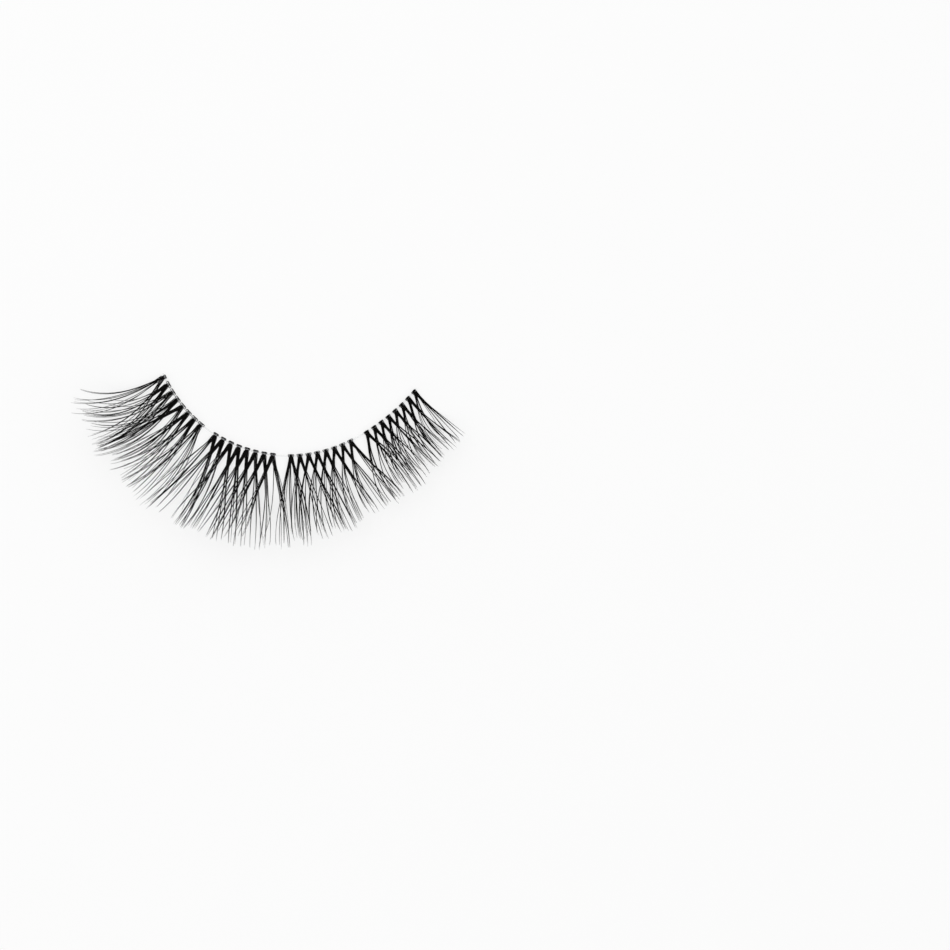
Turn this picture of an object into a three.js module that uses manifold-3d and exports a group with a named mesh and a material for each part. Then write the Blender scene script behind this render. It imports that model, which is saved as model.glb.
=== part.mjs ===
// A strip of false eyelashes for one eye: thirty-two knotted lash clusters on a clear nylon filament.
// It lies face up on a table with its knots on the surface. The outer corner of the eye is at -X,
// the eyelid's curve opens towards +Y, and the lashes point to -Y and curl up along +Z.
// The origin is on the table, under the middle of the strip's outline.

import * as THREE from "three";
import { mergeVertices } from "three/addons/utils/BufferGeometryUtils.js";
import Module from "manifold-3d";

const wasm = await Module();
wasm.setup();

// Band: one bare filament, bent to the eyelid in two arcs that meet without a corner.
const FILAMENT_DIAMETER = 0.16;
const OUTER_BEND_RADIUS = 14.9;
const OUTER_BEND_LENGTH = 23.9;
const INNER_BEND_RADIUS = 23;
const BAND_STUB = 0.48;
const BAND_STEPS = 48;
const FILAMENT_SIDES = 6;
const FIRST_KNOT_HEADING = -65.4;

// Knots: eight to a group, and between groups the filament is bare for a little over one place.
const KNOTS_PER_GROUP = 8;
const PLACES_BETWEEN_GROUPS = 1.08;
const PITCH_AT_OUTER_END = 0.936;
const PITCH_AT_INNER_END = 0.977;
const FILAMENT_CLEARANCE = 0.03;
const KNOT_WALL = 0.1;
const KNOT_WIDTH = 0.58;
const KNOT_FRONT_WIDTH = 0.42;
const KNOT_FRONT_LENGTH = 0.45;
const KNOT_FRONT_HEIGHT = 0.38;
const KNOT_CHAMFER = 0.07;
const KNOT_SLIT = 0.09;
const HOLE_STEPS = 7;

// Lashes: two legs leave each knot, and each leg splits into points.
const OUTER_REACH = 10.7;
const INNER_REACH = 7.2;
const REACH_TAPER_START = 0.42;
const CURL_START = 2.2;
const CURL_TIP_ANGLE = 66;
const LEG_WIDTH = 0.34;
const LEG_THICKNESS = 0.12;
const LEG_ROOT_SPREAD = 0.05;
const LEG_INSET = 0.01;
const LEG_PARTING_AT_TIP = 0.2;
const LASH_ROWS = 3;
const ROW_CLEARANCE_AT_TIP = 0.06;
const PARTING_START = 0.3;
const TIP_WIDTH = 0.035;
const BEND_POWER = 1.5;
const SPLAY_POWER = 1.4;
const LINE_STEPS = 40;
const SPLIT = 0.31;
const TRUNK_STATIONS = [0.13];
const POINT_SHARES = [0.94, 1, 0.9];
const POINT_STATIONS = [0.28, 0.54, 0.79, 1];

// One row for each knot, from the outer corner inwards, charted by eye.
// out: the leg that leans to the outer corner. in: the leg that leans to the inner corner.
// lean and tip: degrees from square to the band, at the leg's root and tip, outer corner positive.
// reach: share of the reach at that place. splay: how far its points part, as a share of its reach.
const FAN_COLUMNS = [
  "outLean", "outTip", "outReach", "outSplay", "inLean", "inTip", "inReach", "inSplay",
];
const FAN = [
  [-9, 34, 0.99, 0.08, -34, 14, 0.98, 0.06],
  [-8, 53, 0.93, 0.07, -26, 9, 0.9, 0.05],
  [1, 45, 0.98, 0.06, -18, 20, 0.94, 0.06],
  [0, 52, 0.98, 0.07, -13, 30, 0.97, 0.06],
  [12, 14, 0.97, 0.05, -18, 36, 0.92, 0.06],
  [6, 20, 0.9, 0.05, -12, 12, 0.96, 0.07],
  [4, 32, 0.9, 0.06, -12, 6, 0.95, 0.06],
  [4, 24, 0.98, 0.06, -14, 13, 0.97, 0.06],
  [12, 16, 0.98, 0.07, -18, 5, 0.98, 0.04],
  [16, 13, 0.99, 0.08, -11, 11, 0.94, 0.06],
  [11, 6, 0.98, 0.06, -17, -20, 0.95, 0.05],
  [9, 8, 0.98, 0.05, -16, -22, 0.98, 0.04],
  [13, 12, 0.99, 0.07, -14, -16, 0.95, 0.06],
  [15, 16, 0.99, 0.07, -14, -14, 0.96, 0.06],
  [17, 17, 0.95, 0.06, -15, -6, 0.93, 0.05],
  [18, 13, 0.9, 0.06, -19, -11, 0.94, 0.05],
  [15, -5, 0.95, 0.06, -15, -1, 0.92, 0.06],
  [14, -9, 0.94, 0.06, -15, -16, 0.92, 0.06],
  [20, -8, 0.95, 0.06, -16, -20, 0.89, 0.05],
  [22, -6, 0.91, 0.06, -12, -17, 0.91, 0.06],
  [25, 0, 0.96, 0.07, -10, -12, 0.89, 0.06],
  [25, 0, 0.95, 0.07, -13, -14, 0.86, 0.06],
  [22, -11, 0.97, 0.07, -12, -14, 0.87, 0.06],
  [22, -13, 0.92, 0.08, -16, -13, 0.93, 0.06],
  [24, -10, 1, 0.08, -15, -3, 0.98, 0.07],
  [26, -10, 0.99, 0.08, -9, 0, 0.96, 0.07],
  [29, -2, 0.96, 0.08, -6, -1, 0.96, 0.07],
  [31, -9, 0.93, 0.08, -5, -10, 0.95, 0.07],
  [36, -16, 0.98, 0.08, 0, 1, 0.92, 0.07],
  [34, -2, 0.98, 0.08, 4, 2, 0.95, 0.07],
  [33, -10, 0.95, 0.07, 5, -5, 0.98, 0.07],
  [37, -15, 0.98, 0.07, 6, 7, 0.93, 0.06],
];

const lashBlack = new THREE.MeshStandardMaterial({ color: 0x161514, roughness: 0.5, metalness: 0 });
const clearNylon = new THREE.MeshStandardMaterial({ color: 0xf2f3f2, roughness: 0.2, metalness: 0 });

const radians = THREE.MathUtils.degToRad;
const direction = (angle) => new THREE.Vector2(Math.cos(angle), Math.sin(angle));
const placeCount = placeOfKnot(FAN.length - 1) + 1;

// Places are counted from the first knot. The pitch grows evenly from the outer end to the inner end.
function distanceToPlace(place) {
  const growth = (PITCH_AT_INNER_END - PITCH_AT_OUTER_END) / (2 * placeCount);
  return PITCH_AT_OUTER_END * place + growth * place ** 2;
}

function placeOfKnot(index) {
  return index + PLACES_BETWEEN_GROUPS * Math.floor(index / KNOTS_PER_GROUP);
}

const knotSpan = distanceToPlace(placeOfKnot(FAN.length - 1));

// The knot's hole runs round the filament, and its walls stand round the hole.
const holeRadius = FILAMENT_DIAMETER / 2 + FILAMENT_CLEARANCE;
const filamentHeight = KNOT_WALL + holeRadius;
const knotHeight = filamentHeight + holeRadius + KNOT_WALL;
const knotBack = holeRadius + KNOT_WALL;
const knotFront = holeRadius + KNOT_FRONT_LENGTH;

// One leg leaves the top half of the knot's front, and the other leaves the bottom half.
const legRoot = holeRadius + KNOT_FRONT_LENGTH / 3;
const legLevel = KNOT_FRONT_HEIGHT / 2;
const legLift = (KNOT_FRONT_HEIGHT - LEG_THICKNESS) / 2 - LEG_INSET;
const rowLiftAtTip = LEG_THICKNESS + ROW_CLEARANCE_AT_TIP;

// The two arcs of the eyelid curve, seen from above, each from its own start.
const outerArc = { start: 0, radius: OUTER_BEND_RADIUS, heading: radians(FIRST_KNOT_HEADING) };
outerArc.centre = direction(outerArc.heading + Math.PI / 2).multiplyScalar(outerArc.radius);
const junction = pointOnArc(outerArc, OUTER_BEND_LENGTH);
const innerArc = {
  start: OUTER_BEND_LENGTH,
  radius: INNER_BEND_RADIUS,
  heading: outerArc.heading + OUTER_BEND_LENGTH / OUTER_BEND_RADIUS,
};
innerArc.centre = direction(innerArc.heading + Math.PI / 2).multiplyScalar(innerArc.radius).add(junction);

function headingOnArc(arc, distance) {
  return arc.heading + (distance - arc.start) / arc.radius;
}

function pointOnArc(arc, distance) {
  return direction(headingOnArc(arc, distance) - Math.PI / 2).multiplyScalar(arc.radius).add(arc.centre);
}

function arcAt(distance) {
  return distance < OUTER_BEND_LENGTH ? outerArc : innerArc;
}

// How far a point of the plan lies from the band, which way, and how far along the band its foot is.
function measureFromBand(point) {
  const ahead = point.clone().sub(junction).dot(direction(innerArc.heading));
  const arc = ahead < 0 ? outerArc : innerArc;
  const ray = point.clone().sub(arc.centre);
  const turned = ray.angle() + Math.PI / 2 - arc.heading;
  const wrapped = Math.atan2(Math.sin(turned), Math.cos(turned));
  return {
    arc,
    away: ray.length() - arc.radius,
    outward: ray.clone().normalize(),
    along: arc.start + wrapped * arc.radius,
  };
}

function reachAt(along) {
  const taper = THREE.MathUtils.smoothstep(along / knotSpan, REACH_TAPER_START, 1);
  return THREE.MathUtils.lerp(OUTER_REACH, INNER_REACH, taper);
}

// All lashes curl as if they were rolled on one rod beside the band, so layers never cross.
// lift moves the point square to that curl.
function curlUp(point, lift) {
  const { arc, away, outward, along } = measureFromBand(point);
  const curlRadius = (reachAt(along) - CURL_START) / Math.sin(radians(CURL_TIP_ANGLE));
  const slope = THREE.MathUtils.clamp((away - CURL_START) / curlRadius, 0, 0.98);
  const level = Math.sqrt(1 - slope ** 2);
  const plan = outward.multiplyScalar(arc.radius + away - slope * lift).add(arc.centre);
  return new THREE.Vector3(plan.x, plan.y, legLevel + curlRadius * (1 - level) + level * lift);
}

// Middle line of a leg in plan, as points and headings at even steps.
function legLine(knot, side) {
  const lean = knot[side + "Lean"];
  const tip = knot[side + "Tip"];
  const length = knot[side + "Reach"] * reachAt(knot.along);
  const sign = side === "out" ? -1 : 1;
  const squareOut = knot.heading - Math.PI / 2;
  const at = direction(squareOut).multiplyScalar(legRoot).add(knot.position);
  at.addScaledVector(direction(knot.heading), sign * LEG_ROOT_SPREAD);
  const line = [];
  for (let step = 0; step <= LINE_STEPS; step += 1) {
    const bend = lean + (tip - lean) * (step / LINE_STEPS) ** BEND_POWER;
    const way = direction(squareOut - radians(bend));
    line.push({ at: at.clone(), way });
    at.addScaledVector(way, length / LINE_STEPS);
  }
  return { line, length };
}

function onLegLine({ line }, share) {
  const place = share * LINE_STEPS;
  const index = Math.min(Math.floor(place), LINE_STEPS - 1);
  const part = place - index;
  const [from, to] = [line[index], line[index + 1]];
  return { at: from.at.clone().lerp(to.at, part), way: from.way.clone().lerp(to.way, part).normalize() };
}

// A closed solid put together from shared corners, quads and fans.
class Shell {
  constructor() {
    this.positions = [];
    this.faces = [];
  }

  corner(point) {
    this.positions.push(point.x, point.y, point.z);
    return this.positions.length / 3 - 1;
  }

  face(...corners) {
    for (let index = 2; index < corners.length; index += 1) {
      this.faces.push(corners[0], corners[index - 1], corners[index]);
    }
  }

  // Walls between two rings, each given as bottom left, bottom right, top right and top left.
  walls(near, far) {
    for (let edge = 0; edge < 4; edge += 1) {
      const next = (edge + 1) % 4;
      this.face(near[next], near[edge], far[edge], far[next]);
    }
  }

  geometry() {
    const geometry = new THREE.BufferGeometry();
    geometry.setAttribute("position", new THREE.Float32BufferAttribute(this.positions, 3));
    geometry.setIndex(this.faces);
    return geometry;
  }
}

// One leg: a flat trunk whose far end parts into points that taper and splay.
function legGeometry(knot, side) {
  const sign = side === "out" ? 1 : -1;
  const leg = legLine(knot, side);
  const splay = knot[side + "Splay"] * leg.length;
  const shell = new Shell();

  // Bottom and top corners at a share of the leg's length, a distance to the right of its middle.
  function pair(share, right, thickness) {
    const { at, way } = onLegLine(leg, share);
    const across = new THREE.Vector2(way.y, -way.x);
    const parted = THREE.MathUtils.clamp((share - PARTING_START) / (1 - PARTING_START), 0, 1);
    const lift = sign * (legLift + LEG_PARTING_AT_TIP * parted) + knot.row * rowLiftAtTip * parted;
    const plan = at.clone().addScaledVector(across, right);
    return [lift - thickness / 2, lift + thickness / 2].map((level) => shell.corner(curlUp(plan, level)));
  }

  function ring(share, middle, width, thickness) {
    const [bottomLeft, topLeft] = pair(share, middle - width / 2, thickness);
    const [bottomRight, topRight] = pair(share, middle + width / 2, thickness);
    return [bottomLeft, bottomRight, topRight, topLeft];
  }

  let last = ring(0, 0, LEG_WIDTH, LEG_THICKNESS);
  shell.face(...last);
  for (const share of TRUNK_STATIONS) {
    const next = ring(share, 0, LEG_WIDTH, LEG_THICKNESS);
    shell.walls(last, next);
    last = next;
  }

  const cell = LEG_WIDTH / POINT_SHARES.length;
  const fork = [];
  for (let cut = 0; cut <= POINT_SHARES.length; cut += 1) {
    fork.push(pair(SPLIT, cut * cell - LEG_WIDTH / 2, LEG_THICKNESS));
  }
  const bottoms = fork.map(([bottom]) => bottom);
  const tops = fork.map(([, top]) => top);
  const [bottomLeft, bottomRight, topRight, topLeft] = last;
  shell.face(bottomRight, bottomLeft, ...bottoms);
  shell.face(topLeft, topRight, ...tops.slice().reverse());
  shell.face(bottomLeft, topLeft, tops[0], bottoms[0]);
  shell.face(topRight, bottomRight, bottoms[POINT_SHARES.length], tops[POINT_SHARES.length]);

  POINT_SHARES.forEach((pointShare, index) => {
    const rest = (index + 0.5) * cell - LEG_WIDTH / 2;
    const fan = (2 * index) / (POINT_SHARES.length - 1) - 1;
    let near = [bottoms[index], bottoms[index + 1], tops[index + 1], tops[index]];
    for (const station of POINT_STATIONS) {
      const share = SPLIT + (pointShare - SPLIT) * station;
      const width = THREE.MathUtils.lerp(cell, TIP_WIDTH, station);
      const thickness = THREE.MathUtils.lerp(LEG_THICKNESS, TIP_WIDTH, station);
      const far = ring(share, rest + fan * splay * station ** SPLAY_POWER, width, thickness);
      shell.walls(near, far);
      near = far;
    }
    shell.face(...near.slice().reverse());
  });
  return shell.geometry();
}

// The knotted head: hair wrapped round the filament, open on top along a slit narrower than the filament.
function headGeometry(knot) {
  const lip = Math.asin(KNOT_SLIT / 2 / holeRadius);
  const profile = new THREE.Shape();
  profile.moveTo(-knotBack, KNOT_CHAMFER);
  profile.lineTo(-knotBack + KNOT_CHAMFER, 0);
  profile.lineTo(knotFront - KNOT_CHAMFER, 0);
  profile.lineTo(knotFront, KNOT_CHAMFER);
  profile.lineTo(knotFront, KNOT_FRONT_HEIGHT - KNOT_CHAMFER);
  profile.lineTo(knotFront - KNOT_CHAMFER, KNOT_FRONT_HEIGHT);
  profile.lineTo(KNOT_SLIT / 2, knotHeight);
  for (let step = 0; step <= HOLE_STEPS; step += 1) {
    const turn = lip + ((2 * Math.PI - 2 * lip) * step) / HOLE_STEPS;
    profile.lineTo(holeRadius * Math.sin(turn), filamentHeight + holeRadius * Math.cos(turn));
  }
  profile.lineTo(-KNOT_SLIT / 2, knotHeight);
  profile.lineTo(-knotBack + KNOT_CHAMFER, knotHeight);
  profile.lineTo(-knotBack, knotHeight - KNOT_CHAMFER);
  const geometry = new THREE.ExtrudeGeometry(profile, { depth: KNOT_WIDTH, steps: 1, bevelEnabled: false });
  const position = geometry.getAttribute("position");
  for (let index = 0; index < position.count; index += 1) {
    const forward = (position.getX(index) + knotBack) / (knotBack + knotFront);
    const taper = THREE.MathUtils.lerp(1, KNOT_FRONT_WIDTH / KNOT_WIDTH, forward);
    position.setZ(index, (position.getZ(index) - KNOT_WIDTH / 2) * taper);
  }
  const outward = direction(knot.heading - Math.PI / 2);
  const backAlong = direction(knot.heading + Math.PI);
  const frame = new THREE.Matrix4().makeBasis(
    new THREE.Vector3(outward.x, outward.y, 0),
    new THREE.Vector3(0, 0, 1),
    new THREE.Vector3(backAlong.x, backAlong.y, 0),
  );
  frame.setPosition(knot.position.x, knot.position.y, 0);
  return geometry.applyMatrix4(frame);
}

function toManifold(geometry) {
  geometry.deleteAttribute("normal");
  geometry.deleteAttribute("uv");
  const merged = mergeVertices(geometry);
  const vertProperties = new Float32Array(merged.getAttribute("position").array);
  const triVerts = new Uint32Array(merged.getIndex().array);
  return new wasm.Manifold(new wasm.Mesh({ numProp: 3, vertProperties, triVerts }));
}

function fromManifold(solid) {
  const mesh = solid.getMesh();
  const geometry = new THREE.BufferGeometry();
  geometry.setAttribute("position", new THREE.BufferAttribute(mesh.vertProperties, 3));
  geometry.setIndex(new THREE.BufferAttribute(mesh.triVerts, 1));
  geometry.computeVertexNormals();
  return geometry;
}

function lashCluster(row, index) {
  const along = distanceToPlace(placeOfKnot(index));
  const arc = arcAt(along);
  const knot = {
    along,
    row: ((2 * index + 1) % LASH_ROWS) - (LASH_ROWS - 1) / 2,
    heading: headingOnArc(arc, along),
    position: pointOnArc(arc, along),
  };
  FAN_COLUMNS.forEach((column, place) => {
    knot[column] = row[place];
  });
  const head = toManifold(headGeometry(knot));
  const legs = ["out", "in"].map((side) => toManifold(legGeometry(knot, side)));
  const cluster = new THREE.Mesh(fromManifold(head.add(legs[0]).add(legs[1])), lashBlack);
  cluster.name = `lash_cluster_${String(index + 1).padStart(2, "0")}`;
  return cluster;
}

class EyelidCurve extends THREE.Curve {
  getPoint(share, target = new THREE.Vector3()) {
    const along = THREE.MathUtils.lerp(-BAND_STUB, knotSpan + BAND_STUB, share);
    const plan = pointOnArc(arcAt(along), along);
    return target.set(plan.x, plan.y, filamentHeight);
  }
}

function band() {
  const section = new THREE.Shape();
  section.absarc(0, 0, FILAMENT_DIAMETER / 2, 0, 2 * Math.PI);
  const geometry = new THREE.ExtrudeGeometry(section, {
    curveSegments: FILAMENT_SIDES,
    steps: BAND_STEPS,
    extrudePath: new EyelidCurve(),
    bevelEnabled: false,
  });
  const mesh = new THREE.Mesh(geometry, clearNylon);
  mesh.name = "band";
  return mesh;
}

const strip = new THREE.Group();
strip.add(band(), ...FAN.map(lashCluster));

const outline = new THREE.Box3().setFromObject(strip);
const middle = outline.getCenter(new THREE.Vector3());
strip.position.set(-middle.x, -middle.y, 0);

export default strip;
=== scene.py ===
# False eyelash strip: knotted clusters of curled lashes on a bare clear filament, lying on a white table
import math
import random

import bpy
from mathutils import Matrix, Vector


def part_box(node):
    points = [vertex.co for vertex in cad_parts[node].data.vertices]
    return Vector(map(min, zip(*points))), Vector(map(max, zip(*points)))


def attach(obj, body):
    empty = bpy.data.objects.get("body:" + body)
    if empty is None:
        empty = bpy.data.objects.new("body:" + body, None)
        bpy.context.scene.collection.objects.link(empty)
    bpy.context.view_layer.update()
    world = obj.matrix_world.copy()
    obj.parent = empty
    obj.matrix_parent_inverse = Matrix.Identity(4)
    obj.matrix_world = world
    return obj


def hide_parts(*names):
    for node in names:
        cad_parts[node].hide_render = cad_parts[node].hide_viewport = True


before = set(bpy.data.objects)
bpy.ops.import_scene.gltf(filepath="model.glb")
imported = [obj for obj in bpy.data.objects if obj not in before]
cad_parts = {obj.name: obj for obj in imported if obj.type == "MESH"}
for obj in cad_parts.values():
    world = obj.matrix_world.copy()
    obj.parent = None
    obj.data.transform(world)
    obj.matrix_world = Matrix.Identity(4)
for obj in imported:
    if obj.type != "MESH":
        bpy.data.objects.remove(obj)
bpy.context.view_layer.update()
mm = 0.001
print("frame loaded:", len(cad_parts), "nodes")


# Camera straight above the table, framed as the photo is
photoFrame = {
    "pixelsWide": 950,
    "mmPerPixel": 0.1091,
    "middlePixel": (475, 475),
    "stripPixel": (268.0, 462.0),  # the strip's own middle in the photo
    "turnDegrees": -0.4,
    "lensMm": 250,
    "sensorMm": 36,
    "clip": (0.01, 20),  # metres
}


def setUpCamera(setup):
    pixel = setup["mmPerPixel"] * mm
    turn = math.radians(setup["turnDegrees"])
    aside = (setup["middlePixel"][0] - setup["stripPixel"][0]) * pixel
    nearer = (setup["middlePixel"][1] - setup["stripPixel"][1]) * pixel
    distance = setup["pixelsWide"] * pixel * setup["lensMm"] / setup["sensorMm"]
    data = bpy.data.cameras.new("photoCamera")
    data.lens = setup["lensMm"]
    data.sensor_width = setup["sensorMm"]
    data.clip_start, data.clip_end = setup["clip"]
    camera = bpy.data.objects.new("photoCamera", data)
    camera.location = Matrix.Rotation(turn, 3, "Z") @ Vector((aside, -nearer, distance))
    camera.rotation_euler = (0, 0, turn)  # it looks straight down
    bpy.context.scene.collection.objects.link(camera)
    bpy.context.scene.camera = camera


setUpCamera(photoFrame)


# Eyelid curve: two arcs that meet without a corner, in millimetres and degrees
bandShape = {
    "outerRadius": 14.9,
    "outerLength": 23.9,
    "innerRadius": 23.0,
    "firstHeading": -65.4,
    "stub": 0.48,  # filament past the first and last knot
    "pitchOuter": 0.936,
    "pitchInner": 0.977,
    "knotsPerGroup": 8,
    "groupGap": 1.08,  # empty places between two groups
    "diameter": 0.16,
    "height": 0.21,  # of its middle above the table
    "sides": 16,
    "steps": 160,
    "endRounding": 0.05,  # length of the rounded tip
    "endNarrowing": 0.75,
}

# Reach and curl of the lashes, in millimetres and degrees
curlShape = {
    "outerReach": 10.7,
    "innerReach": 7.2,
    "taperStart": 0.42,
    "curlStart": 2.2,
    "tipAngle": 66,
    "steepest": 0.98,  # sine of the steepest slope that a lash can reach
    "rootLevel": 0.19,
    "legLift": 0.12,
    "partingAtTip": 0.2,
    "partingStart": 0.3,
    "rowLiftAtTip": 0.18,
    "rows": 3,
    "rootSpread": 0.05,
    "bendPower": 1.5,
    "probe": 0.1,  # how far from a lash its sideways and upward directions are measured
}

# One row for each knot from the outer corner inwards: its two legs, out and in.
# Lean and tip are degrees from square to the band, reach is a share of the reach there.
fanColumns = ("outLean", "outTip", "outReach", "outSplay", "inLean", "inTip", "inReach", "inSplay")
fanChart = (
    (-9, 34, 0.99, 0.08, -34, 14, 0.98, 0.06),
    (-8, 53, 0.93, 0.07, -26, 9, 0.9, 0.05),
    (1, 45, 0.98, 0.06, -18, 20, 0.94, 0.06),
    (0, 52, 0.98, 0.07, -13, 30, 0.97, 0.06),
    (12, 14, 0.97, 0.05, -18, 36, 0.92, 0.06),
    (6, 20, 0.9, 0.05, -12, 12, 0.96, 0.07),
    (4, 32, 0.9, 0.06, -12, 6, 0.95, 0.06),
    (4, 24, 0.98, 0.06, -14, 13, 0.97, 0.06),
    (12, 16, 0.98, 0.07, -18, 5, 0.98, 0.04),
    (16, 13, 0.99, 0.08, -11, 11, 0.94, 0.06),
    (11, 6, 0.98, 0.06, -17, -20, 0.95, 0.05),
    (9, 8, 0.98, 0.05, -16, -22, 0.98, 0.04),
    (13, 12, 0.99, 0.07, -14, -16, 0.95, 0.06),
    (15, 16, 0.99, 0.07, -14, -14, 0.96, 0.06),
    (17, 17, 0.95, 0.06, -15, -6, 0.93, 0.05),
    (18, 13, 0.9, 0.06, -19, -11, 0.94, 0.05),
    (15, -5, 0.95, 0.06, -15, -1, 0.92, 0.06),
    (14, -9, 0.94, 0.06, -15, -16, 0.92, 0.06),
    (20, -8, 0.95, 0.06, -16, -20, 0.89, 0.05),
    (22, -6, 0.91, 0.06, -12, -17, 0.91, 0.06),
    (25, 0, 0.96, 0.07, -10, -12, 0.89, 0.06),
    (25, 0, 0.95, 0.07, -13, -14, 0.86, 0.06),
    (22, -11, 0.97, 0.07, -12, -14, 0.87, 0.06),
    (22, -13, 0.92, 0.08, -16, -13, 0.93, 0.06),
    (24, -10, 1, 0.08, -15, -3, 0.98, 0.07),
    (26, -10, 0.99, 0.08, -9, 0, 0.96, 0.07),
    (29, -2, 0.96, 0.08, -6, -1, 0.96, 0.07),
    (31, -9, 0.93, 0.08, -5, -10, 0.95, 0.07),
    (36, -16, 0.98, 0.08, 0, 1, 0.92, 0.07),
    (34, -2, 0.98, 0.08, 4, 2, 0.95, 0.07),
    (33, -10, 0.95, 0.07, 5, -5, 0.98, 0.07),
    (37, -15, 0.98, 0.07, 6, 7, 0.93, 0.06),
)

knotCount = len(fanChart)


def smoothStep(value, low, high):
    share = min(max((value - low) / (high - low), 0), 1)
    return share * share * (3 - 2 * share)


def compass(angle):
    return Vector((math.cos(angle), math.sin(angle)))


def placeOfKnot(index):
    return index + index // bandShape["knotsPerGroup"] * bandShape["groupGap"]


def knotDistance(index):
    places = placeOfKnot(knotCount - 1) + 1
    place = placeOfKnot(index)
    growth = (bandShape["pitchInner"] - bandShape["pitchOuter"]) / (2 * places)
    return bandShape["pitchOuter"] * place + growth * place ** 2


def headingOnArc(arc, distance):
    return arc["heading"] + (distance - arc["start"]) / arc["radius"]


def pointOnArc(arc, distance):
    return arc["centre"] + compass(headingOnArc(arc, distance) - math.pi / 2) * arc["radius"]


def eyelidArcs():
    outer = {"start": 0, "radius": bandShape["outerRadius"]}
    outer["heading"] = math.radians(bandShape["firstHeading"])
    outer["centre"] = compass(outer["heading"] + math.pi / 2) * outer["radius"]
    inner = {"start": bandShape["outerLength"], "radius": bandShape["innerRadius"]}
    inner["heading"] = headingOnArc(outer, inner["start"])
    meeting = pointOnArc(outer, inner["start"])
    inner["centre"] = meeting + compass(inner["heading"] + math.pi / 2) * inner["radius"]
    return outer, inner


outerArc, innerArc = eyelidArcs()
arcMeeting = pointOnArc(innerArc, innerArc["start"])
knotSpan = knotDistance(knotCount - 1)


def arcAt(distance):
    return outerArc if distance < innerArc["start"] else innerArc


def filamentDistances():
    low = -bandShape["stub"]
    high = knotSpan + bandShape["stub"]
    return [low + (high - low) * step / bandShape["steps"] for step in range(bandShape["steps"] + 1)]


def planShift():
    # the curve starts at the first knot, and the frame's band says where that lies
    plan = [pointOnArc(arcAt(distance), distance) for distance in filamentDistances()]
    middle = Vector((
        (min(point.x for point in plan) + max(point.x for point in plan)) / 2,
        (min(point.y for point in plan) + max(point.y for point in plan)) / 2,
    ))
    low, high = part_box("band")
    return ((low + high) / 2).to_2d() / mm - middle


shift = planShift()


def toFrame(plan, height):
    return Vector((plan.x + shift.x, plan.y + shift.y, height)) * mm


def reachAt(along):
    taper = smoothStep(along / knotSpan, curlShape["taperStart"], 1)
    return curlShape["outerReach"] + (curlShape["innerReach"] - curlShape["outerReach"]) * taper


def curlUp(plan, lift):
    # every lash follows one curl that rises with the distance from the band; lift is square to it
    arc = outerArc if (plan - arcMeeting).dot(compass(innerArc["heading"])) < 0 else innerArc
    ray = plan - arc["centre"]
    turned = math.atan2(ray.y, ray.x) + math.pi / 2 - arc["heading"]
    along = arc["start"] + math.atan2(math.sin(turned), math.cos(turned)) * arc["radius"]
    away = ray.length - arc["radius"]
    curlRadius = (reachAt(along) - curlShape["curlStart"]) / math.sin(math.radians(curlShape["tipAngle"]))
    slope = min(max((away - curlShape["curlStart"]) / curlRadius, 0), curlShape["steepest"])
    level = math.sqrt(1 - slope ** 2)
    lifted = arc["centre"] + ray.normalized() * (ray.length - slope * lift)
    return toFrame(lifted, curlShape["rootLevel"] + curlRadius * (1 - level) + level * lift)


print("eyelid curve:", round(knotSpan, 2), "mm from the first knot to the last")


# Small helpers for node trees
def addNode(tree, kind, inputs=(), **settings):
    node = tree.nodes.new(kind)
    for name, value in settings.items():
        setattr(node, name, value)
    for name, value in dict(inputs).items():
        if isinstance(value, bpy.types.NodeSocket):
            tree.links.new(value, node.inputs[name])
        else:
            node.inputs[name].default_value = value
    return node


def calc(tree, operation, *values):
    return addNode(tree, "ShaderNodeMath", enumerate(values), operation=operation).outputs[0]


def scaleVector(tree, vector, factor):
    inputs = {"Vector": vector, "Scale": factor}
    return addNode(tree, "ShaderNodeVectorMath", inputs, operation="SCALE").outputs[0]


def readAttribute(tree, name, dataType="FLOAT"):
    return addNode(tree, "GeometryNodeInputNamedAttribute", {"Name": name}, data_type=dataType).outputs[0]


def randomBetween(tree, low, high, splineIndex, seed):
    # sockets 2 and 3 are the float limits, 7 the ID and 8 the seed
    inputs = {2: low, 3: high, 7: splineIndex, 8: seed}
    return addNode(tree, "FunctionNodeRandomValue", inputs, data_type="FLOAT").outputs[1]


def newTree(name, sockets):
    tree = bpy.data.node_groups.new(name, "GeometryNodeTree")
    tree.interface.new_socket("Geometry", in_out="INPUT", socket_type="NodeSocketGeometry")
    for label, kind, value in sockets:
        socket = tree.interface.new_socket(label, in_out="INPUT", socket_type=kind)
        if value is not None:
            socket.default_value = value
    tree.interface.new_socket("Geometry", in_out="OUTPUT", socket_type="NodeSocketGeometry")
    return tree


def finishTree(tree, geometry, material):
    smooth = addNode(tree, "GeometryNodeSetShadeSmooth", {"Geometry": geometry})
    real = addNode(tree, "GeometryNodeRealizeInstances", {"Geometry": smooth.outputs[0]})
    painted = addNode(tree, "GeometryNodeSetMaterial", {"Geometry": real.outputs[0], "Material": material})
    addNode(tree, "NodeGroupOutput", {"Geometry": painted.outputs[0]})


def guideMesh(name, guides):
    # each guide is a list of points, and each point a dictionary with its place and its attributes
    mesh = bpy.data.meshes.new(name)
    points = [point for guide in guides for point in guide]
    edges = []
    start = 0
    for guide in guides:
        edges += [(start + step, start + step + 1) for step in range(len(guide) - 1)]
        start += len(guide)
    mesh.from_pydata([point["at"] for point in points], edges, [])
    for key, value in points[0].items():
        if key == "at":
            continue
        if isinstance(value, Vector):
            layer = mesh.attributes.new(key, "FLOAT_VECTOR", "POINT")
            layer.data.foreach_set("vector", [part for point in points for part in point[key]])
        else:
            layer = mesh.attributes.new(key, "FLOAT", "POINT")
            layer.data.foreach_set("value", [point[key] for point in points])
    return mesh


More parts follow.
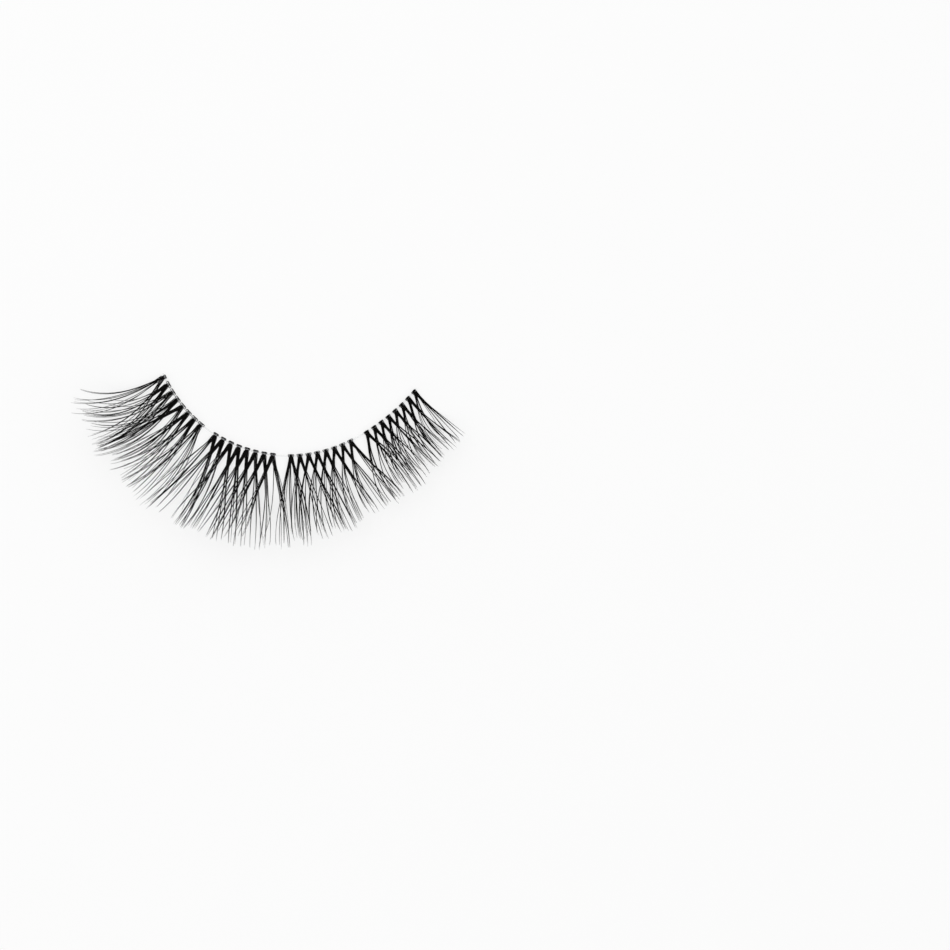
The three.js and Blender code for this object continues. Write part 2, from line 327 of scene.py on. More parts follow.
def growPiece(name, mesh, tree, values):
    # runs a tree on a guide mesh and keeps the result as a plain mesh
    source = bpy.data.objects.new(name + "_guides", mesh)
    bpy.context.scene.collection.objects.link(source)
    modifier = source.modifiers.new("grow", "NODES")
    modifier.node_group = tree
    for item in tree.interface.items_tree:
        if item.in_out == "INPUT" and item.name in values:
            modifier[item.identifier] = values[item.name]
    grown = source.evaluated_get(bpy.context.evaluated_depsgraph_get())
    result = bpy.data.meshes.new_from_object(grown)
    result.name = name
    bpy.data.objects.remove(source)
    bpy.data.meshes.remove(mesh)
    piece = bpy.data.objects.new(name, result)
    bpy.context.scene.collection.objects.link(piece)
    return piece


# Materials
grainShape = {"detail": 4, "roughness": 0.6, "noiseRange": (0.3, 0.7)}


def surfaceGrainGroup():
    # fine uneven grain: the bare noise, and the same noise between two given values
    group = bpy.data.node_groups.new("surfaceGrain", "ShaderNodeTree")
    for label, kind, value in (
        ("Vector", "NodeSocketVector", None),
        ("Scale", "NodeSocketFloat", 1000),
        ("Low", "NodeSocketFloat", 0),
        ("High", "NodeSocketFloat", 1),
    ):
        socket = group.interface.new_socket(label, in_out="INPUT", socket_type=kind)
        if value is not None:
            socket.default_value = value
    group.interface.new_socket("Grain", in_out="OUTPUT", socket_type="NodeSocketFloat")
    group.interface.new_socket("Mask", in_out="OUTPUT", socket_type="NodeSocketFloat")
    given = addNode(group, "NodeGroupInput").outputs
    noise = addNode(group, "ShaderNodeTexNoise", {
        "Vector": given["Vector"],
        "Scale": given["Scale"],
        "Detail": grainShape["detail"],
        "Roughness": grainShape["roughness"],
    })
    noiseLow, noiseHigh = grainShape["noiseRange"]
    mask = addNode(group, "ShaderNodeMapRange", {
        "Value": noise.outputs[0],
        "From Min": noiseLow,
        "From Max": noiseHigh,
        "To Min": given["Low"],
        "To Max": given["High"],
    })
    addNode(group, "NodeGroupOutput", {"Grain": noise.outputs[0], "Mask": mask.outputs[0]})
    return group


surfaceGrain = surfaceGrainGroup()


def newMaterial(name):
    material = bpy.data.materials.new(name)
    material.use_nodes = True
    material.node_tree.nodes.clear()
    return material, material.node_tree


def addGrain(tree, scale, low, high):
    place = addNode(tree, "ShaderNodeTexCoord").outputs["Object"]
    inputs = {"Vector": place, "Scale": scale, "Low": low, "High": high}
    return addNode(tree, "ShaderNodeGroup", inputs, node_tree=surfaceGrain).outputs


def mixColors(tree, share, first, second):
    # sockets 6 and 7 are the two colours
    inputs = {0: share, 6: first, 7: second}
    return addNode(tree, "ShaderNodeMix", inputs, data_type="RGBA").outputs[2]


def finishMaterial(tree, inputs):
    shader = addNode(tree, "ShaderNodeBsdfPrincipled", inputs)
    addNode(tree, "ShaderNodeOutputMaterial", {"Surface": shader.outputs[0]})


lashFinish = {
    "rootColor": (0.0006, 0.0006, 0.0006, 1),
    "tipColor": (0.005, 0.0047, 0.0045, 1),
    "paleHair": (0.014, 0.013, 0.012, 1),
    "paleAmount": 0.4,  # how far the palest hair goes to the pale colour
    "roughness": (0.42, 0.6),
    "grainScale": 9000,
    "bump": 0.2,
    "bumpDistance": 0.000004,
    "specular": 0.04,
}


def makeLashMaterial(finish):
    # near-black fibre, a little browner to the tip, each hair with a tone of its own
    material, tree = newMaterial("lashFibre")
    share = addNode(tree, "ShaderNodeAttribute", attribute_name="hairShare").outputs["Fac"]
    tone = addNode(tree, "ShaderNodeAttribute", attribute_name="hairTone").outputs["Fac"]
    grain = addGrain(tree, finish["grainScale"], *finish["roughness"])
    along = mixColors(tree, share, finish["rootColor"], finish["tipColor"])
    pale = calc(tree, "MULTIPLY", tone, finish["paleAmount"])
    color = mixColors(tree, pale, along, finish["paleHair"])
    bump = addNode(tree, "ShaderNodeBump", {
        "Strength": finish["bump"], "Distance": finish["bumpDistance"], "Height": grain["Grain"],
    })
    finishMaterial(tree, {
        "Base Color": color,
        "Roughness": grain["Mask"],
        "Normal": bump.outputs[0],
        "Specular IOR Level": finish["specular"],
    })
    return material


filamentFinish = {
    "color": (0.72, 0.73, 0.74, 1),
    "roughness": (0.12, 0.28),
    "grainScale": 2500,
    "bump": 0.15,
    "bumpDistance": 0.000005,
    "alpha": 0.2,
    "ior": 1.53,
}


def makeFilamentMaterial(finish):
    # clear nylon, slightly milky, with faint drawing marks
    material, tree = newMaterial("clearFilament")
    grain = addGrain(tree, finish["grainScale"], *finish["roughness"])
    bump = addNode(tree, "ShaderNodeBump", {
        "Strength": finish["bump"], "Distance": finish["bumpDistance"], "Height": grain["Grain"],
    })
    finishMaterial(tree, {
        "Base Color": finish["color"],
        "Roughness": grain["Mask"],
        "Normal": bump.outputs[0],
        "Alpha": finish["alpha"],
        "IOR": finish["ior"],
    })
    return material


# Table: a grey surface with a white glow; the glow is painted light that fills the shade under the lashes
# so the table looks evenly white
tableSurfaceAndPaintedGlow = {
    "color": (0.3, 0.3, 0.3, 1),
    "otherColor": (0.295, 0.295, 0.294, 1),
    # painted light: the glow brightens the table evenly, also where the lashes shade it
    "paintedGlow": 0.64,
    "glowColor": (1, 1, 1, 1),
    "roughness": (0.75, 0.85),
    "grainScale": 60,
    "specular": 0.1,
}


def makeTableMaterial(finish):
    # the table's grey with grain, plus a glow of painted light that fills the shade under the lashes
    material, tree = newMaterial("glowingWhiteTable")
    grain = addGrain(tree, finish["grainScale"], *finish["roughness"])
    color = mixColors(tree, grain["Grain"], finish["color"], finish["otherColor"])
    finishMaterial(tree, {
        "Base Color": color,
        "Roughness": grain["Mask"],
        "Specular IOR Level": finish["specular"],
        "Emission Color": finish["glowColor"],
        "Emission Strength": finish["paintedGlow"],
    })
    return material


lashMaterial = makeLashMaterial(lashFinish)
filamentMaterial = makeFilamentMaterial(filamentFinish)
tableMaterial = makeTableMaterial(tableSurfaceAndPaintedGlow)
print("materials ready")


# Filament: a smooth round line that carries every knot
def makeFilamentTree():
    tree = newTree("filament", (
        ("Diameter", "NodeSocketFloat", bandShape["diameter"] * mm),
        ("Sides", "NodeSocketInt", bandShape["sides"]),
        ("Material", "NodeSocketMaterial", None),
    ))
    given = addNode(tree, "NodeGroupInput").outputs
    line = addNode(tree, "GeometryNodeMeshToCurve", {"Mesh": given["Geometry"]})
    ring = addNode(tree, "GeometryNodeCurvePrimitiveCircle", {
        "Resolution": given["Sides"], "Radius": calc(tree, "MULTIPLY", given["Diameter"], 0.5),
    })
    tube = addNode(tree, "GeometryNodeCurveToMesh", {
        "Curve": line.outputs[0],
        "Profile Curve": ring.outputs[0],
        "Scale": readAttribute(tree, "rounding"),
        "Fill Caps": True,
    })
    finishTree(tree, tube.outputs[0], given["Material"])
    return tree


def makeFilament():
    guide = []
    distances = filamentDistances()
    for distance in distances:
        plan = pointOnArc(arcAt(distance), distance)
        fromEnd = min(distance - distances[0], distances[-1] - distance) / bandShape["endRounding"]
        rounding = math.sqrt(1 - max(1 - fromEnd, 0) ** 2 * bandShape["endNarrowing"])
        guide.append({"at": toFrame(plan, bandShape["height"]), "rounding": rounding})
    piece = growPiece("filament", guideMesh("filamentLine", [guide]), makeFilamentTree(), {
        "Material": filamentMaterial,
    })
    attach(piece, "root")
    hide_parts("band")


makeFilament()
print("filament made")


# Lash clusters: every hair is a thin tapering tube that follows a guide
lashHair = {
    "rootDiameter": 0.09,
    "tipDiameter": 0.02,
    "taperPower": 3.6,
    "thinnest": 0.78,  # share of the thickness that the finest hair has
    "sides": 5,
    "steps": 12,  # points along a guide
    "finePerStep": 4,  # smaller steps between two points, to follow the bend
    "clumping": 0.3,  # how tightly the hairs of a lock keep together
    "clumpEarly": 4,  # how soon along the leg they come together
    "layerLift": 0.035,
    "splayPower": 0.95,
    "unevenSplay": 0.45,
    "gather": 0.6,  # how far a lock can close again towards its tip
    "gatherPower": 3,
    "strandSpread": 0.1,
    "unevenOpening": 0.12,
    "wander": 0.1,
    "wanderTurns": 1.3,
    "lowest": 0.047,  # of a hair's middle above the table
    "shortestLock": 0.97,
    "shortestHair": 0.93,
    "earliestOpening": 0.05,
    "seed": 7,
    "seedsPerKnot": 10,
    "seedStep": 100,  # keeps the strays of one seed apart from those of the next
}

# How the hairs of each leg part: their number, and the share of the leg where they open
hairColumns = ("outHairs", "outOpen", "inHairs", "inOpen", "strays")
hairChart = (
    (4, 0.1, 6, 0.16, 1),
    (6, 0.2, 6, 0.18, 2),
    (6, 0.14, 6, 0.14, 2),
    (6, 0.14, 7, 0.14, 2),
    (7, 0.12, 6, 0.14, 2),
    (6, 0.14, 6, 0.18, 3),
    (6, 0.14, 7, 0.18, 2),
    (7, 0.14, 5, 0.12, 3),
    (7, 0.1, 7, 0.5, 3),
    (7, 0.26, 7, 0.24, 2),
    (7, 0.5, 7, 0.34, 2),
    (7, 0.36, 7, 0.28, 2),
    (7, 0.34, 6, 0.24, 2),
    (7, 0.34, 6, 0.24, 3),
    (7, 0.38, 6, 0.42, 2),
    (7, 0.36, 6, 0.5, 2),
    (7, 0.36, 6, 0.2, 2),
    (7, 0.26, 6, 0.24, 2),
    (6, 0.24, 7, 0.28, 2),
    (6, 0.2, 7, 0.24, 3),
    (7, 0.24, 6, 0.22, 3),
    (7, 0.26, 7, 0.36, 2),
    (6, 0.2, 7, 0.3, 3),
    (6, 0.2, 7, 0.3, 3),
    (7, 0.26, 6, 0.24, 2),
    (6, 0.22, 7, 0.24, 3),
    (6, 0.22, 7, 0.24, 3),
    (6, 0.2, 7, 0.24, 3),
    (6, 0.2, 7, 0.26, 2),
    (6, 0.22, 7, 0.28, 2),
    (6, 0.22, 7, 0.32, 2),
    (5, 0.2, 7, 0.28, 2),
)

# The knot, in millimetres: hairs cross the filament and a few loops lie along it
knotShape = {
    "tailLevel": 0.14,
    "neckHairs": 8,
    "neckLevel": 0.19,
    "neckLength": 0.34,  # past the legs' roots
    "pinchLength": 0.08,  # share of the leg where the neck ends
    "pinchExtra": 0.5,
    "layerShare": 0.5,  # how far the two layers of hairs lie apart in the knot
    "unevenTail": 0.1,
    "firstLoop": 0.55,  # share of the loops' length that the first knot has
    "loopTuck": (0.02, 0.1),  # the ends of a loop: how far in front, how high
    "loopFlat": 0.75,  # share of a loop that lies level
    "loopShoulder": (1.05, 0.75),  # where it turns down, and how far it has sunk there
}

# The knots differ from group to group, from the outer corner inwards
knotGroups = (
    {
        "crossLevel": 0.075,  # the hairs pass under the filament
        "tailBack": -0.1,
        "tailThickness": 0.8,
        "backWidth": 0.36,
        "rootWidth": 0.34,
        "legWidth": 0.27,
        "locks": 4,
        "neckWidth": 0.28,
        "legStart": 0.26,
        "loopLength": 0.72,
        "loops": ((-0.165, 0.28), (-0.14, 0.35), (0.1, 0.33)),  # how far in front, how high
        "loopThickness": 0.85,
    },
    {
        "crossLevel": 0.075,
        "tailBack": -0.14,
        "tailThickness": 0.8,
        "backWidth": 0.42,
        "rootWidth": 0.4,
        "legWidth": 0.3,
        "locks": 3,
        "neckWidth": 0.34,
        "legStart": 0.26,
        "loopLength": 0.56,
        "loops": ((-0.175, 0.33), (-0.19, 0.24), (-0.13, 0.365)),
        "loopThickness": 0.85,
    },
    {
        "crossLevel": 0.34,  # and here they pass over it
        "tailBack": -0.15,
        "tailThickness": 0.4,
        "backWidth": 0.56,
        "rootWidth": 0.26,
        "legWidth": 0.23,
        "locks": 3,
        "neckWidth": 0.26,
        "legStart": 0.26,
        "loopLength": 0.62,
        "loops": ((-0.16, 0.34),),
        "loopThickness": 0.6,
    },
    {
        "crossLevel": 0.34,
        "tailBack": -0.16,
        "tailThickness": 0.5,
        "backWidth": 0.56,
        "rootWidth": 0.36,
        "legWidth": 0.23,
        "locks": 3,
        "neckWidth": 0.32,
        "legStart": 0.3,
        "loopLength": 0.5,
        "loops": ((-0.1, 0.34),),
        "loopThickness": 0.6,
    },
)

# Thin strands that stand out beside the legs: the knot, counted from 1, and the way they take
strandColumns = ("knot", "side", "lean", "tip", "reach", "hairs")
strandChart = (
    (1, "out", 0, 45, 0.88, 2),
    (1, "out", -6, 36, 1, 2),
    (8, "in", -22, 6, 0.92, 1),
    (10, "in", 14, -16, 0.84, 1),
    (11, "out", 24, 0, 0.8, 1),
    (16, "in", -9, 18, 0.84, 1),
    (16, "out", 17, 26, 0.92, 2),
    (17, "out", 1, 1, 0.8, 1),
    (17, "out", 4, -6, 0.84, 2),
    (24, "in", -10, -18, 0.92, 1),
    (24, "in", -6, -18, 0.95, 1),
    (32, "in", 3, -5, 0.96, 1),
)

# A knot's guides are numbered for their random draws: its legs first, then strays and strands
firstStray = 2
firstStrand = 10

# Single hairs that leave a knot beside its legs
strayHair = {
    "leanSpread": 9,
    "tipSpread": 14,
    "reach": (0.72, 0.97),
    "thickness": 0.78,
    "splay": 0.02,
    "halfWidth": 0.03,
}


def addHairs(tree, given):
    # copies each guide into its hairs
    curves = addNode(tree, "GeometryNodeMeshToCurve", {"Mesh": given["Geometry"]})
    copies = addNode(tree, "GeometryNodeDuplicateElements", {
        "Geometry": curves.outputs[0], "Amount": readAttribute(tree, "hairs"),
    }, domain="SPLINE")
    index = addNode(tree, "GeometryNodeInputIndex").outputs[0]
    hair = addNode(tree, "GeometryNodeFieldOnDomain", {0: index}, domain="CURVE", data_type="INT")
    return copies.outputs[0], copies.outputs["Duplicate Index"], hair.outputs[0]


def fromMinusToPlus(tree, number, count):
    # -1 for the first of a row, 1 for the last, and -1 where there is only one
    others = calc(tree, "MAXIMUM", calc(tree, "SUBTRACT", count, 1), 1)
    return calc(tree, "MULTIPLY_ADD", calc(tree, "DIVIDE", number, others), 2, -1)


def makeLashTree():
    tree = newTree("lashHairs", (
        ("Root Diameter", "NodeSocketFloat", lashHair["rootDiameter"] * mm),
        ("Tip Share", "NodeSocketFloat", lashHair["tipDiameter"] / lashHair["rootDiameter"]),
        ("Taper Power", "NodeSocketFloat", lashHair["taperPower"]),
        ("Thinnest Hair", "NodeSocketFloat", lashHair["thinnest"]),
        ("Clumping", "NodeSocketFloat", lashHair["clumping"]),
        ("Clump Early", "NodeSocketFloat", lashHair["clumpEarly"]),
        ("Splay Power", "NodeSocketFloat", lashHair["splayPower"]),
        ("Uneven Splay", "NodeSocketFloat", lashHair["unevenSplay"]),
        ("Gather", "NodeSocketFloat", lashHair["gather"]),
        ("Gather Power", "NodeSocketFloat", lashHair["gatherPower"]),
        ("Strand Spread", "NodeSocketFloat", lashHair["strandSpread"]),
        ("Uneven Opening", "NodeSocketFloat", lashHair["unevenOpening"]),
        ("Earliest Opening", "NodeSocketFloat", lashHair["earliestOpening"]),
        ("Layer Lift", "NodeSocketFloat", lashHair["layerLift"] * mm),
        ("Wander", "NodeSocketFloat", lashHair["wander"] * mm),
        ("Wander Turns", "NodeSocketFloat", lashHair["wanderTurns"]),
        ("Lowest", "NodeSocketFloat", lashHair["lowest"] * mm),
        ("Shortest Lock", "NodeSocketFloat", lashHair["shortestLock"]),
        ("Shortest Hair", "NodeSocketFloat", lashHair["shortestHair"]),
        ("Uneven Tail", "NodeSocketFloat", knotShape["unevenTail"] * mm),
        ("Sides", "NodeSocketInt", lashHair["sides"]),
        ("Seed", "NodeSocketInt", lashHair["seed"]),
        ("Material", "NodeSocketMaterial", None),
    ))
    given = addNode(tree, "NodeGroupInput").outputs
    geometry, number, hair = addHairs(tree, given)
    share = readAttribute(tree, "share")
    loose = readAttribute(tree, "loose")
    spread = readAttribute(tree, "spread")
    hairs = readAttribute(tree, "hairs")
    seeds = [given["Seed"]]
    for _ in range(lashHair["seedsPerKnot"] - 1):
        seeds.append(calc(tree, "ADD", seeds[-1], 1))

    # place in the flat bundle, and the lock that each hair belongs to
    rank = calc(tree, "MULTIPLY", fromMinusToPlus(tree, number, hairs), spread)
    layer = calc(tree, "MULTIPLY_ADD", calc(tree, "MODULO", number, 2), 2, -1)
    locks = readAttribute(tree, "locks")
    lock = calc(tree, "FLOOR", calc(tree, "DIVIDE", calc(tree, "MULTIPLY", number, locks), hairs))
    lockFan = calc(tree, "MULTIPLY", fromMinusToPlus(tree, lock, locks), spread)
    lockId = calc(tree, "MULTIPLY_ADD", readAttribute(tree, "guide"), locks, lock)
    clump = calc(tree, "MINIMUM", calc(tree, "MULTIPLY", share, given["Clump Early"]), 1)
    clump = calc(tree, "MULTIPLY", clump, given["Clumping"])
    stance = calc(tree, "MULTIPLY_ADD", calc(tree, "SUBTRACT", lockFan, rank), clump, rank)

    # the parting grows from where each lock opens
    late = calc(tree, "MULTIPLY", randomBetween(tree, -1, 1, lockId, seeds[0]), given["Uneven Opening"])
    opening = calc(tree, "ADD", readAttribute(tree, "open"), late)
    opening = calc(tree, "MAXIMUM", opening, given["Earliest Opening"])
    past = calc(tree, "DIVIDE", calc(tree, "SUBTRACT", share, opening), calc(tree, "SUBTRACT", 1, opening))
    past = calc(tree, "MAXIMUM", past, 0)
    gather = calc(tree, "MULTIPLY", randomBetween(tree, 0, -1, lockId, seeds[9]), given["Gather"])
    closed = calc(tree, "MULTIPLY_ADD", calc(tree, "POWER", past, given["Gather Power"]), gather, 1)
    parted = calc(tree, "MULTIPLY", calc(tree, "POWER", past, given["Splay Power"]), closed)
    unevenLock = calc(tree, "MULTIPLY", randomBetween(tree, -1, 1, lockId, seeds[1]), given["Uneven Splay"])
    unevenHair = calc(tree, "MULTIPLY", randomBetween(tree, -1, 1, hair, seeds[2]), given["Strand Spread"])
    fan = calc(tree, "ADD", lockFan, calc(tree, "ADD", unevenLock, unevenHair))
    splay = calc(tree, "MULTIPLY", calc(tree, "MULTIPLY", fan, readAttribute(tree, "splay")), parted)

    # a slow wander that is different for each hair
    start = randomBetween(tree, 0, 100, hair, seeds[3])
    moment = calc(tree, "MULTIPLY_ADD", share, given["Wander Turns"], start)
    inputs = {"W": moment, "Scale": 1, "Detail": 1}
    noise = addNode(tree, "ShaderNodeTexNoise", inputs, noise_dimensions="1D")
    drift = calc(tree, "MULTIPLY_ADD", noise.outputs[0], 2, -1)
    drift = calc(tree, "MULTIPLY", calc(tree, "MULTIPLY", drift, share), given["Wander"])

    strayed = calc(tree, "ADD", splay, drift)
    aside = calc(tree, "MULTIPLY_ADD", stance, readAttribute(tree, "halfWidth"), strayed)
    rise = calc(tree, "MULTIPLY", calc(tree, "MULTIPLY", layer, given["Layer Lift"]), loose)
    offset = addNode(tree, "ShaderNodeVectorMath", {
        0: scaleVector(tree, readAttribute(tree, "across", "FLOAT_VECTOR"), aside),
        1: scaleVector(tree, readAttribute(tree, "lift", "FLOAT_VECTOR"), rise),
    }, operation="ADD")
    moved = addNode(tree, "GeometryNodeSetPosition", {"Geometry": geometry, "Offset": offset.outputs[0]})

    # a hair that would sink into the table rests on it
    position = addNode(tree, "GeometryNodeInputPosition").outputs[0]
    place = addNode(tree, "ShaderNodeSeparateXYZ", {0: position}).outputs
    level = calc(tree, "MAXIMUM", place[2], given["Lowest"])
    resting = addNode(tree, "GeometryNodeSetPosition", {
        "Geometry": moved.outputs[0],
        "Position": addNode(tree, "ShaderNodeCombineXYZ", {0: place[0], 1: place[1], 2: level}).outputs[0],
    })

    # uneven ends, then a taper to each hair's own tip
    lockEnd = randomBetween(tree, given["Shortest Lock"], 1, lockId, seeds[4])
    hairEnd = randomBetween(tree, given["Shortest Hair"], 1, hair, seeds[5])
    looseEnd = calc(tree, "MULTIPLY", lockEnd, hairEnd)
    end = addNode(tree, "ShaderNodeMix", {0: loose, 2: 1, 3: looseEnd}).outputs[0]
    length = addNode(tree, "GeometryNodeSplineLength").outputs[0]
    tail = randomBetween(tree, 0, given["Uneven Tail"], hair, seeds[8])
    trimmed = addNode(tree, "GeometryNodeTrimCurve", {
        "Curve": resting.outputs[0], 4: tail, 5: calc(tree, "MULTIPLY", end, length),
    }, mode="LENGTH")
    factor = addNode(tree, "GeometryNodeSplineParameter").outputs["Factor"]
    taper = calc(tree, "MULTIPLY", calc(tree, "POWER", factor, given["Taper Power"]), loose)
    thinned = calc(tree, "MULTIPLY_ADD", taper, calc(tree, "SUBTRACT", given["Tip Share"], 1), 1)
    thickness = calc(tree, "MULTIPLY", thinned, readAttribute(tree, "thickness"))
    ownThickness = randomBetween(tree, given["Thinnest Hair"], 1, hair, seeds[6])
    thickness = calc(tree, "MULTIPLY", thickness, ownThickness)
    radius = calc(tree, "MULTIPLY", calc(tree, "MULTIPLY", thickness, given["Root Diameter"]), 0.5)

    shared = addNode(tree, "GeometryNodeStoreNamedAttribute", {
        "Geometry": trimmed.outputs[0], "Name": "hairShare", "Value": calc(tree, "MULTIPLY", factor, loose),
    }, data_type="FLOAT", domain="POINT")
    toned = addNode(tree, "GeometryNodeStoreNamedAttribute", {
        "Geometry": shared.outputs[0], "Name": "hairTone",
        "Value": randomBetween(tree, 0, 1, hair, seeds[7]),
    }, data_type="FLOAT", domain="POINT")
    ring = addNode(tree, "GeometryNodeCurvePrimitiveCircle", {"Resolution": given["Sides"], "Radius": 1})
    tubes = addNode(tree, "GeometryNodeCurveToMesh", {
        "Curve": toned.outputs[0],
        "Profile Curve": ring.outputs[0],
        "Scale": radius,
        "Fill Caps": True,
    })
    finishTree(tree, tubes.outputs[0], given["Material"])
    return tree


def guidePoint(at, across, lift, **values):
    point = {
        "at": at, "across": across, "lift": lift, "guide": 0,
        "share": 0, "open": 0.3, "loose": 1, "hairs": 1, "locks": 1, "spread": 1,
        "halfWidth": 0, "splay": 0, "thickness": 1,
    }
    point.update(values)
    return point


def onKnot(knot, outward, along, height):
    plan = knot["at"] + knot["outward"] * outward + knot["tangent"] * along
    return toFrame(plan, height)


def knotRoot(knot, values):
    # the hairs start behind the filament and cross it
    group = knot["group"]
    across = knot["tangent"].to_3d()
    up = Vector((0, 0, knotShape["layerShare"]))
    tail = onKnot(knot, group["tailBack"], 0, knotShape["tailLevel"])
    cross = onKnot(knot, 0, 0, group["crossLevel"])
    wide = dict(values, halfWidth=group["rootWidth"] * mm / 2)
    thin = dict(wide, thickness=group["tailThickness"])
    return [guidePoint(tail, across, up, **thin), guidePoint(cross, across, up, **wide)]


def legPoint(knot, side, leg, values, plan, way, share):
    # one point of a guide, lifted on the curl, with the directions in which its hairs part
    sign = 1 if side == "out" else -1
    parted = max((share - curlShape["partingStart"]) / (1 - curlShape["partingStart"]), 0)
    lift = sign * (curlShape["legLift"] + curlShape["partingAtTip"] * parted)
    lift += knot["row"] * curlShape["rowLiftAtTip"] * parted
    probe = curlShape["probe"]
    aside = Vector((way.y, -way.x)) * probe
    across = (curlUp(plan + aside, lift) - curlUp(plan - aside, lift)) / (2 * probe * mm)
    up = (curlUp(plan, lift + probe) - curlUp(plan, lift - probe)) / (2 * probe * mm)
    pinch = 1 + knotShape["pinchExtra"] * max(1 - share / knotShape["pinchLength"], 0)
    return guidePoint(curlUp(plan, lift), across, up, share=share, **dict(
        values, halfWidth=values["halfWidth"] * pinch, splay=values["splay"] * leg["length"],
    ))


def legGuide(knot, side, leg, values):
    # follows a leg's bend in plan, in small steps of which every few give a point
    sign = 1 if side == "out" else -1
    finePerStep = lashHair["finePerStep"]
    fine = lashHair["steps"] * finePerStep
    leg["length"] = leg["reach"] * reachAt(knot["along"])
    square = knot["heading"] - math.pi / 2
    start = knot["group"]["legStart"]
    plan = knot["at"] + knot["outward"] * start - knot["tangent"] * sign * curlShape["rootSpread"]
    guide = knotRoot(knot, values)
    for step in range(fine + 1):
        share = step / fine
        bend = leg["lean"] + (leg["tip"] - leg["lean"]) * share ** curlShape["bendPower"]
        way = compass(square - math.radians(bend))
        if step % finePerStep == 0:
            guide.append(legPoint(knot, side, leg, values, plan, way, share))
        plan = plan + way * (leg["length"] / fine)
    return guide


def legGuides(knot):
    guides = []
    for number, side in enumerate(("out", "in")):
        leg = {"lean": knot[side + "Lean"], "tip": knot[side + "Tip"], "reach": knot[side + "Reach"]}
        guides.append(legGuide(knot, side, leg, {
            "guide": number,
            "hairs": knot[side + "Hairs"],
            "locks": knot["group"]["locks"],
            "open": knot[side + "Open"],
            "halfWidth": knot["group"]["legWidth"] * mm / 2,
            "splay": knot[side + "Splay"] * mm,
        }))
    return guides


def strayGuides(knot, chance):
    guides = []
    for number in range(knot["strays"]):
        side = ("out", "in")[number % 2]
        lean = knot[side + "Lean"] + chance.uniform(-1, 1) * strayHair["leanSpread"]
        tip = knot[side + "Tip"] + chance.uniform(-1, 1) * strayHair["tipSpread"]
        reach = knot[side + "Reach"] * chance.uniform(*strayHair["reach"])
        leg = {"lean": lean, "tip": tip, "reach": reach}
        guides.append(legGuide(knot, side, leg, {
            "guide": firstStray + number,
            "spread": 0,
            "splay": strayHair["splay"] * mm,
            "halfWidth": 0,
            "thickness": strayHair["thickness"],
        }))
    return guides


def strandGuides(knot):
    guides = []
    for row in strandChart:
        strand = dict(zip(strandColumns, row))
        if strand["knot"] != knot["number"]:
            continue
        guides.append(legGuide(knot, strand["side"], strand, {
            "guide": firstStrand + len(guides),
            "hairs": strand["hairs"],
            "splay": strayHair["splay"] * mm,
            "halfWidth": strayHair["halfWidth"] * mm,
        }))
    return guides


def neckGuide(knot):
    group = knot["group"]
    across = knot["tangent"].to_3d()
    up = Vector((0, 0, knotShape["layerShare"]))
    wide = group["backWidth"]
    narrow = group["neckWidth"]
    thin = group["tailThickness"]
    places = (
        (group["tailBack"], knotShape["tailLevel"], wide, thin),
        (0, group["crossLevel"], wide, (1 + thin) / 2),
        (group["legStart"], knotShape["neckLevel"], (wide + narrow) / 2, 1),
        (group["legStart"] + knotShape["neckLength"], knotShape["neckLevel"], narrow, 1),
    )
    guide = []
    for outward, level, width, thickness in places:
        at = onKnot(knot, outward, 0, level)
        values = {"hairs": knotShape["neckHairs"], "loose": 0, "halfWidth": width * mm / 2}
        guide.append(guidePoint(at, across, up, thickness=thickness, **values))
    return guide


def loopGuides(knot):
    # the loops of the knot lie along the filament and tuck under it at both ends
    group = knot["group"]
    values = {"loose": 0, "thickness": group["loopThickness"]}
    half = group["loopLength"] / 2 * (knotShape["firstLoop"] if knot["number"] == 1 else 1)
    flat = half * knotShape["loopFlat"]
    shoulder = half * knotShape["loopShoulder"][0]
    sunk = knotShape["loopShoulder"][1]
    inside, low = knotShape["loopTuck"]
    across = knot["outward"].to_3d()
    up = Vector((0, 0, 1))
    guides = []
    for aside, level in group["loops"]:
        places = (
            (inside, -half, low),
            (aside * sunk, -shoulder, level * sunk),
            (aside, -flat, level),
            (aside, flat, level),
            (aside * sunk, shoulder, level * sunk),
            (inside, half, low),
        )
        guides.append([guidePoint(onKnot(knot, *place), across, up, **values) for place in places])
    return guides


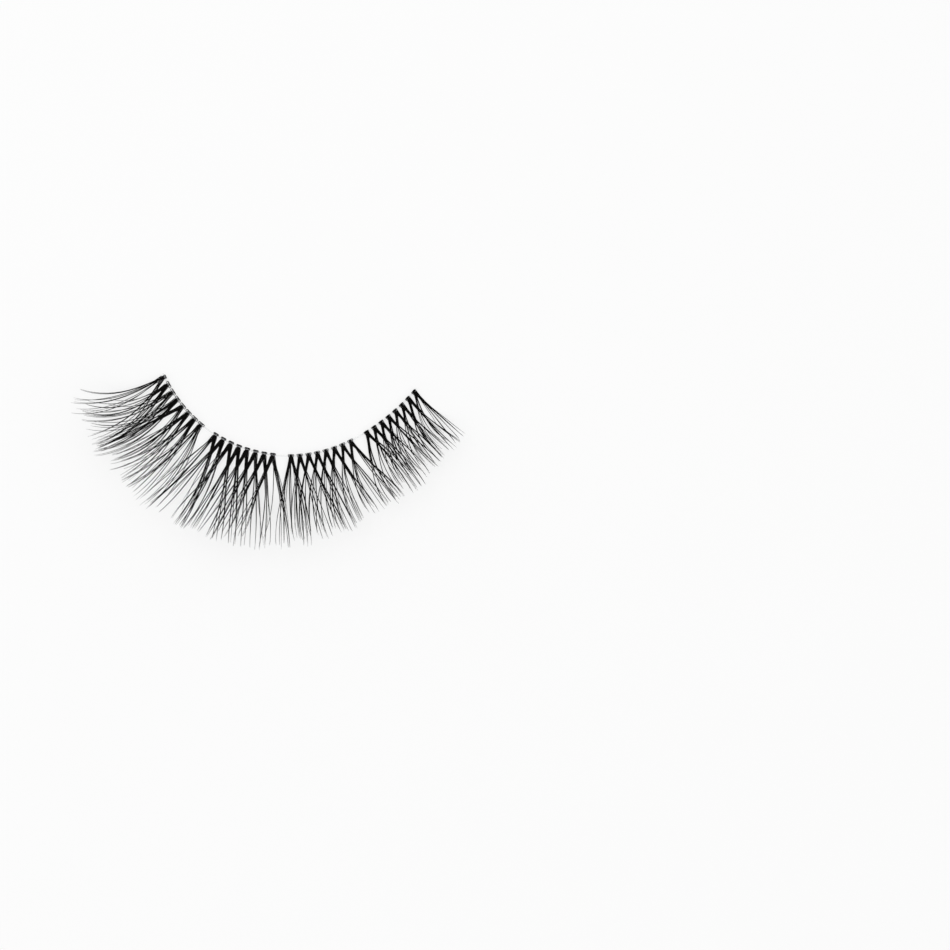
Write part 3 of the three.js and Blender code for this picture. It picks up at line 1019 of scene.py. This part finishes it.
def readKnot(index):
    along = knotDistance(index)
    arc = arcAt(along)
    heading = headingOnArc(arc, along)
    knot = {
        "number": index + 1,
        "along": along,
        "heading": heading,
        "at": pointOnArc(arc, along),
        "outward": compass(heading - math.pi / 2),
        "tangent": compass(heading),
        "row": (2 * index + 1) % curlShape["rows"] - (curlShape["rows"] - 1) / 2,
        "group": knotGroups[index // bandShape["knotsPerGroup"]],
    }
    knot.update(zip(fanColumns, fanChart[index]))
    knot.update(zip(hairColumns, hairChart[index]))
    return knot


lashTree = makeLashTree()
for index in range(knotCount):
    knot = readKnot(index)
    chance = random.Random(lashHair["seed"] * lashHair["seedStep"] + index)
    guides = legGuides(knot) + strandGuides(knot) + strayGuides(knot, chance)
    guides += [neckGuide(knot)] + loopGuides(knot)
    name = f"{index + 1:02d}"
    cluster = growPiece("lashes_" + name, guideMesh("lashGuides_" + name, guides), lashTree, {
        "Seed": lashHair["seed"] + index * lashHair["seedsPerKnot"],
        "Material": lashMaterial,
    })
    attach(cluster, "root")
    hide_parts("lash_cluster_" + name)
print("lash clusters grown:", knotCount)


# White table that glows with painted light, which fills the shade under the lashes, and soft light
studio = {
    "tableSize": 1.6,
    "worldColor": (1, 1, 1, 1),
    "worldStrength": 0.94,
    "softboxSize": 0.5,
    "softboxPower": 1.2,
    "softboxPlace": (-0.25, 0.3, 0.6),
}


def makeTable():
    half = studio["tableSize"] / 2
    mesh = bpy.data.meshes.new("glowingWhiteTable")
    corners = [(-half, -half, 0), (half, -half, 0), (half, half, 0), (-half, half, 0)]
    mesh.from_pydata(corners, [], [range(4)])
    mesh.materials.append(tableMaterial)
    table = bpy.data.objects.new("glowingWhiteTable", mesh)
    bpy.context.scene.collection.objects.link(table)


def makeLight():
    world = bpy.data.worlds.new("softRoom")
    world.use_nodes = True
    world.node_tree.nodes["Background"].inputs["Color"].default_value = studio["worldColor"]
    world.node_tree.nodes["Background"].inputs["Strength"].default_value = studio["worldStrength"]
    bpy.context.scene.world = world
    data = bpy.data.lights.new("softbox", "AREA")
    data.size = studio["softboxSize"]
    data.energy = studio["softboxPower"]
    softbox = bpy.data.objects.new("softbox", data)
    softbox.location = studio["softboxPlace"]
    softbox.rotation_euler = (-softbox.location).to_track_quat("-Z", "Y").to_euler()
    bpy.context.scene.collection.objects.link(softbox)


makeTable()
makeLight()
bpy.context.scene.view_settings.view_transform = "Standard"
print("table and light set")
